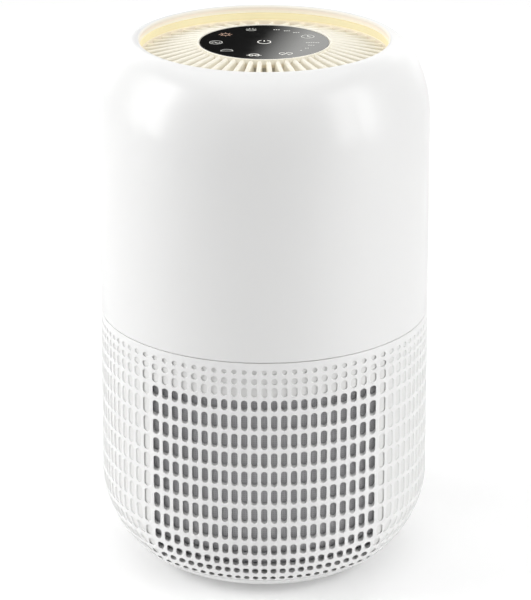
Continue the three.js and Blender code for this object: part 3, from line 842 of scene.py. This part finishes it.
def make_outlet_grille():
    data = MeshData()
    for i in range(FIN_COUNT):
        add_fin(data, 2 * math.pi * (i + 0.5) / FIN_COUNT)
    ledge = PANEL_TOP - 2.7
    ring_top = PANEL_TOP + 0.4
    inner = PANEL_RADIUS + 0.4
    bead = (HUB_RADIUS - inner) / 2
    hub = [
        (HUB_BORE, HUB_WALL_TOP), (HUB_RADIUS, HUB_WALL_TOP),
        *arc_points((inner + bead, ring_top - bead), bead, 0, 180, 8), (inner, ledge), (HUB_BORE, ledge),
    ]
    data.revolve(hub, 200)
    root = HUB_WALL_TOP + 0.2  # the wall runs a little way into the ring above it
    back = HUB_BORE + 0.2
    wall = [
        (back, HUB_WALL_BOTTOM), (HUB_WALL_RADIUS, HUB_WALL_BOTTOM), (HUB_WALL_RADIUS, root), (back, root),
    ]
    # The wall under the ring takes the painted warm glow, which lightens the gaps between the fins.
    data.revolve(wall, 200, material=2)
    edge = 0.5
    throat_bottom = FIN_BOTTOM - 1.4
    outside = THROAT_RADIUS + 3.2
    outer = [
        (THROAT_RADIUS, throat_bottom), (outside, throat_bottom), (outside, THROAT_TOP),
        (THROAT_RADIUS + edge, THROAT_TOP), (THROAT_RADIUS, THROAT_TOP - edge),
    ]
    # The throat wall takes the painted warm glow, brightest at its top by the light ring.
    data.revolve(outer, 200, material=1)
    make_piece("outlet_grille_skin", data, [grille_cream, throat_painted_glow, hub_painted_glow], slot="grille_cream",
               replaces=["outlet_grille"])


def make_light_ring():
    """The lit band, an upright wall on a flat foot."""
    low, high = mm_box("light_ring")
    inner = THROAT_RADIUS - 0.6
    wall, foot, edge = 2.2, 1.8, 0.4
    outline = [
        (inner, low.z), (high.x, low.z), (high.x, low.z + foot), (inner + wall, low.z + foot),
        (inner + wall, high.z), (inner + edge, high.z), (inner, high.z - edge),
    ]
    lathe_piece("light_ring_skin", outline, light_diffuser, segments=240,
                slot="light_diffuser", replaces=["light_ring"])


# ---------------------------------------------------------------- control panel
def make_control_panel():
    low, high = mm_box("control_panel")
    edge, chamfer = 0.35, 0.2
    flat_radius = PANEL_RADIUS - 2 * edge  # this ring of corners keeps the glass flat inside it
    outline = [
        (0, low.z), (PANEL_RADIUS - chamfer, low.z), (PANEL_RADIUS, low.z + chamfer),
        (PANEL_RADIUS, high.z - edge), *arc_points((PANEL_RADIUS - edge, high.z - edge), edge, 0, 90, 4)[1:],
        (flat_radius, high.z), (0, high.z),
    ]
    data = MeshData()
    data.revolve(outline, 200, closed=False)
    make_piece("control_panel_skin", data, [panel_glass], slot="panel_black", replaces=["control_panel"])


SYMBOL_CIRCLE = 31.2
SYMBOL_STEP = 38.0  # degrees between neighbouring symbols
STROKE = 0.45
SYMBOL_LIFT = 0.04  # symbols stand this far above the glass, as thin prints


class Symbol:
    """A flat printed mark made of strokes, each a closed prism with its own corners."""

    def __init__(self, x, y):
        self.data = MeshData()
        self.x, self.y = x, y

    def outline(self, points):
        levels = []
        for z in (PANEL_TOP - SYMBOL_LIFT, PANEL_TOP + SYMBOL_LIFT):
            levels.append([self.data.corner((self.x + u, self.y + v, z), shared=False) for u, v in points])
        self.data.strip(*levels)
        self.data.face(levels[0][::-1])
        self.data.face(levels[1])

    def arc(self, radius, start=0, end=360, u=0.0, v=0.0, stroke=STROKE):
        """A ring, or part of one, as a chain of short blocks."""
        steps = max(6, int(abs(end - start) / 15))
        for i in range(steps):
            angles = [math.radians(start + (end - start) * (i + k) / steps) for k in (0, 1)]
            corners = []
            for angle, r in ((angles[0], radius - stroke / 2), (angles[1], radius - stroke / 2),
                             (angles[1], radius + stroke / 2), (angles[0], radius + stroke / 2)):
                corners.append((u + r * math.cos(angle), v + r * math.sin(angle)))
            self.outline(corners)

    def bar(self, u0, v0, u1, v1, stroke=STROKE):
        length = math.hypot(u1 - u0, v1 - v0)
        nu, nv = -(v1 - v0) / length * stroke / 2, (u1 - u0) / length * stroke / 2
        self.outline([(u0 + nu, v0 + nv), (u0 - nu, v0 - nv), (u1 - nu, v1 - nv), (u1 + nu, v1 + nv)])

    def dashes(self, count):
        """A centred row of short bars."""
        length, gap, height = 1.0, 0.5, 1.1
        start = -(count * length + (count - 1) * gap) / 2
        for i in range(count):
            left = start + i * (length + gap)
            self.bar(left, 0, left + length, 0, height)

    def finish(self, name, material):
        make_piece(name, self.data, [material], slot="panel_black")


def on_circle(degrees):
    angle = math.radians(degrees)
    return Symbol(SYMBOL_CIRCLE * math.cos(angle), SYMBOL_CIRCLE * math.sin(angle))


def make_symbols():
    first = 106  # direction of the first symbol; the others follow anticlockwise
    power = Symbol(0, 0)
    power.arc(4.2, 118, 422, stroke=0.6)
    power.bar(0, 1.2, 0, 3.8, 0.7)
    power.finish("symbol_power", symbol_white)

    rays = on_circle(first)
    rays.arc(3.6, 200, 340, v=1.2)
    for tilt in (-50, -18, 18, 50):
        angle = math.radians(90 + tilt)
        rays.bar(1.6 * math.cos(angle), 1.6 * math.sin(angle) - 0.6,
                 4.2 * math.cos(angle), 4.2 * math.sin(angle) - 0.6)
    rays.finish("symbol_rays", symbol_dim)

    sun = on_circle(first + SYMBOL_STEP)
    sun.arc(2.3)
    for i in range(8):
        angle = math.pi / 4 * i
        sun.bar(3.1 * math.cos(angle), 3.1 * math.sin(angle), 4.4 * math.cos(angle), 4.4 * math.sin(angle))
    sun.finish("symbol_sun", symbol_amber)

    dial = on_circle(first + 2 * SYMBOL_STEP)
    dial.arc(4.1)
    dial.arc(1.3, 0, 180, u=-1.3, v=-0.4, stroke=0.6)
    dial.arc(1.3, 180, 360, u=1.3, v=-0.4, stroke=0.6)
    dial.finish("symbol_wave", symbol_dim)

    dome = on_circle(first + 3 * SYMBOL_STEP)
    dome.arc(3.8, 0, 180, v=-1.6)
    dome.bar(-4.1, -1.8, 4.1, -1.8)
    dome.finish("symbol_dome", symbol_dim)

    night = on_circle(first + 4 * SYMBOL_STEP)
    night.arc(3.4, 10, 170, v=-1.2)
    night.arc(1.3, u=-1.8, v=-1.6, stroke=0.6)
    night.arc(1.3, u=1.8, v=-1.6, stroke=0.6)
    night.bar(-4.8, -1.4, -3.4, -1.4)
    night.bar(3.4, -1.4, 4.8, -1.4)
    night.finish("symbol_night", symbol_white)

    fan = on_circle(first + 5 * SYMBOL_STEP)
    fan.arc(1.9, 30, 330, u=-2.3, v=0.4)
    fan.arc(1.9, -150, 150, u=2.3, v=0.4)
    fan.bar(-0.8, -1.6, 0.8, 2.2)
    fan.bar(-2.6, -2.9, -1.4, -2.0)
    fan.bar(1.4, -2.0, 2.6, -2.9)
    fan.finish("symbol_fan", symbol_white)

    clock = on_circle(25)
    clock.arc(4.1)
    clock.bar(0, 3.0, 0, 0.2, 0.7)
    clock.bar(0, 0.2, 1.9, -1.4, 0.7)
    clock.finish("symbol_clock", symbol_dim)

    rows = ((75, 3), (61.5, 3), (48, 3), (-3, 6), (-15, 3), (-29, 2), (-41, 1))
    for i, (degrees, count) in enumerate(rows):
        marks = on_circle(degrees)
        marks.dashes(count)
        marks.finish(f"symbol_marks_{i + 1}", symbol_dim)


# ---------------------------------------------------------------- power inlet
def make_power_inlet():
    """The round socket on the back, a tube with a centre pin, looking along +Y."""
    low, high = mm_box("power_inlet")
    centre_z = (low.z + high.z) / 2
    flange, tube, bore, pin = (high.x - low.x) / 2, 5.7, 3.2, 1.0
    flange_thickness, outer_edge, bore_edge = 2.4, 0.5, 0.4
    depth = high.y - low.y
    pin_top, pin_tip = depth - 1.4, 0.4
    outline = [
        (0, 0), (flange, 0), (flange, flange_thickness), (tube, flange_thickness),
        (tube, depth - outer_edge), (tube - outer_edge, depth), (bore + bore_edge, depth),
        (bore, depth - bore_edge), (bore, flange_thickness), (pin, flange_thickness),
        (pin, pin_top - pin_tip), (pin * 0.5, pin_top), (0, pin_top),
    ]
    data = MeshData()
    data.revolve(outline, 72, closed=False)
    data.corners = [(x, low.y + z, centre_z + y) for x, y, z in data.corners]
    make_piece("power_inlet_skin", data, [inlet_black], slot="inlet_black", replaces=["power_inlet"])


# ---------------------------------------------------------------- set and light, in metres
FLOOR_RADIUS = 1.5
LAMP_CIRCLE = 2.0
LAMP_HEIGHT = 0.9
OBJECT_MIDDLE = (0, 0, 0.18)
CARD_PLACE = (0, 3.0, 1.178)
CARD_HALF_WIDTH = 0.8
CARD_HALF_HEIGHT = 0.3
CAMERA_PLACE = (0.0008, -1.66056, 0.8110)
CAMERA_PITCH = 20.85  # degrees below level
CAMERA_LENS = 159.28
CAMERA_SENSOR = 36


def stage_piece(name, corners, material):
    """One flat face that isn't part of the object."""
    mesh = bpy.data.meshes.new(name)
    mesh.from_pydata(corners, [], [range(len(corners))])
    mesh.materials.append(material)
    piece = bpy.data.objects.new(name, mesh)
    bpy.context.scene.collection.objects.link(piece)
    return piece


def make_floor():
    """A round white table top that glows faintly, as a lit product table does."""
    material = moulded("floor_white", (0.93, 0.93, 0.93), 0.7, tint=0.003, **{
        "Emission Color": (1, 1, 1, 1), "Emission Strength": 0.13})
    rim = arc_points((0, 0), FLOOR_RADIUS, 0, 360, 120)[:-1]
    stage_piece("floor", [(x, y, 0) for x, y in rim], material)


def make_mirror_card():
    """A glowing card behind the object, seen only as a mirror image in its glossy surfaces."""
    material, nodes, links, shader = new_material("card_gradient", (0, 0, 0), 0.9)
    place = nodes.new("ShaderNodeTexCoord")
    slant = nodes.new("ShaderNodeVectorMath")
    slant.operation = "DOT_PRODUCT"
    slant.inputs[1].default_value = (1, 0, 0.84)  # the glow's edge leans, and grows towards the right
    ramp = nodes.new("ShaderNodeMapRange")
    ramp.inputs["From Min"].default_value = -0.01
    ramp.inputs["From Max"].default_value = 0.07
    ramp.inputs["To Max"].default_value = 1.5
    shader.inputs["Emission Color"].default_value = (1, 1, 0.97, 1)
    links.new(place.outputs["Object"], slant.inputs[0])
    links.new(slant.outputs["Value"], ramp.inputs["Value"])
    links.new(ramp.outputs["Result"], shader.inputs["Emission Strength"])
    x, z = CARD_HALF_WIDTH, CARD_HALF_HEIGHT
    card = stage_piece("mirror_card", [(-x, 0, -z), (x, 0, -z), (x, 0, z), (-x, 0, z)], material)
    card.location = CARD_PLACE
    card.visible_camera = False
    card.visible_diffuse = False
    card.visible_shadow = False


def make_world():
    """A white surround that is seen and mirrored, while the lamps alone light the matt surfaces."""
    world = bpy.data.worlds.new("studio")
    world.use_nodes = True
    background = world.node_tree.nodes["Background"]
    background.inputs["Color"].default_value = (1, 1, 1, 1)
    background.inputs["Strength"].default_value = 1.0
    bpy.context.scene.world = world
    world.cycles_visibility.diffuse = False


def add_area_light(name, place, target, width, height, power):
    light = bpy.data.lights.new(name, "AREA")
    light.shape = "RECTANGLE"
    light.size, light.size_y = width, height
    light.energy = power
    lamp = bpy.data.objects.new(name, light)
    lamp.location = place
    lamp.rotation_euler = (Vector(target) - Vector(place)).to_track_quat("-Z", "Y").to_euler()
    bpy.context.scene.collection.objects.link(lamp)


def add_ring_lamp(name, azimuth, width, power):
    """An upright lamp beside the object. azimuth is in degrees from the front, growing to the right."""
    turn = math.radians(azimuth)
    place = (LAMP_CIRCLE * math.sin(turn), -LAMP_CIRCLE * math.cos(turn), LAMP_HEIGHT)
    add_area_light(name, place, OBJECT_MIDDLE, width, 1.7, power)


def make_lights():
    """The powers began as a least-squares fit, and about half of them have been changed since."""
    softbox, strip = 1.1, 0.5
    add_ring_lamp("left_softbox", -90, softbox, 17.5)
    add_ring_lamp("left_front_strip", -75, strip, 12)
    add_ring_lamp("left_front_softbox", -40, softbox, 1.2)
    add_ring_lamp("left_back_softbox", -150, softbox, 4.5)
    add_ring_lamp("right_front_strip", 56, strip, 10.5)
    add_ring_lamp("right_strip", 75, strip, 12.3)
    add_ring_lamp("right_side_strip", 85, strip, 1.5)
    add_ring_lamp("right_back_softbox", 150, softbox, 3.3)
    add_area_light("front_top_softbox", (0, -1.6, 2.0), (0, -0.1, 0.1), 2.0, 1.0, 8.5)
    add_area_light("top_softbox", (0, 0.1, 2.2), (0, 0.05, 0), 2.4, 2.4, 22)
    add_area_light("top_spot", (0, 0.1, 2.2), (0, 0.05, 0), 1.0, 1.0, 3)
    add_area_light("overhead_panel", (0, 0.1, 2.4), (0, 0.05, 0), 4.0, 4.0, 9)
    add_area_light("backdrop_light", (0.2, 1.8, 1.2), (0.2, 1.8, 0), 2.6, 0.9, 8)


def make_camera():
    camera_data = bpy.data.cameras.new("camera")
    camera_data.sensor_width = CAMERA_SENSOR
    camera_data.lens = CAMERA_LENS
    camera = bpy.data.objects.new("camera", camera_data)
    camera.location = CAMERA_PLACE
    camera.rotation_euler = (math.radians(90 - CAMERA_PITCH), 0, 0)
    bpy.context.scene.collection.objects.link(camera)
    bpy.context.scene.camera = camera


# ---------------------------------------------------------------- assembly
for node, finish in CARRIED_OVER.items():
    node_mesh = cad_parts[node].data
    node_mesh.materials.clear()
    node_mesh.materials.append(finish)

make_upper_shell()
make_intake_shell()
make_prefilter_sleeve()
make_base_cover()
for number in range(1, 5):
    make_foot(f"foot_{number}")
make_outlet_grille()
make_light_ring()
make_control_panel()
make_symbols()
make_power_inlet()

make_floor()
make_mirror_card()
make_world()
make_lights()
make_camera()
bpy.context.scene.view_settings.view_transform = "Standard"
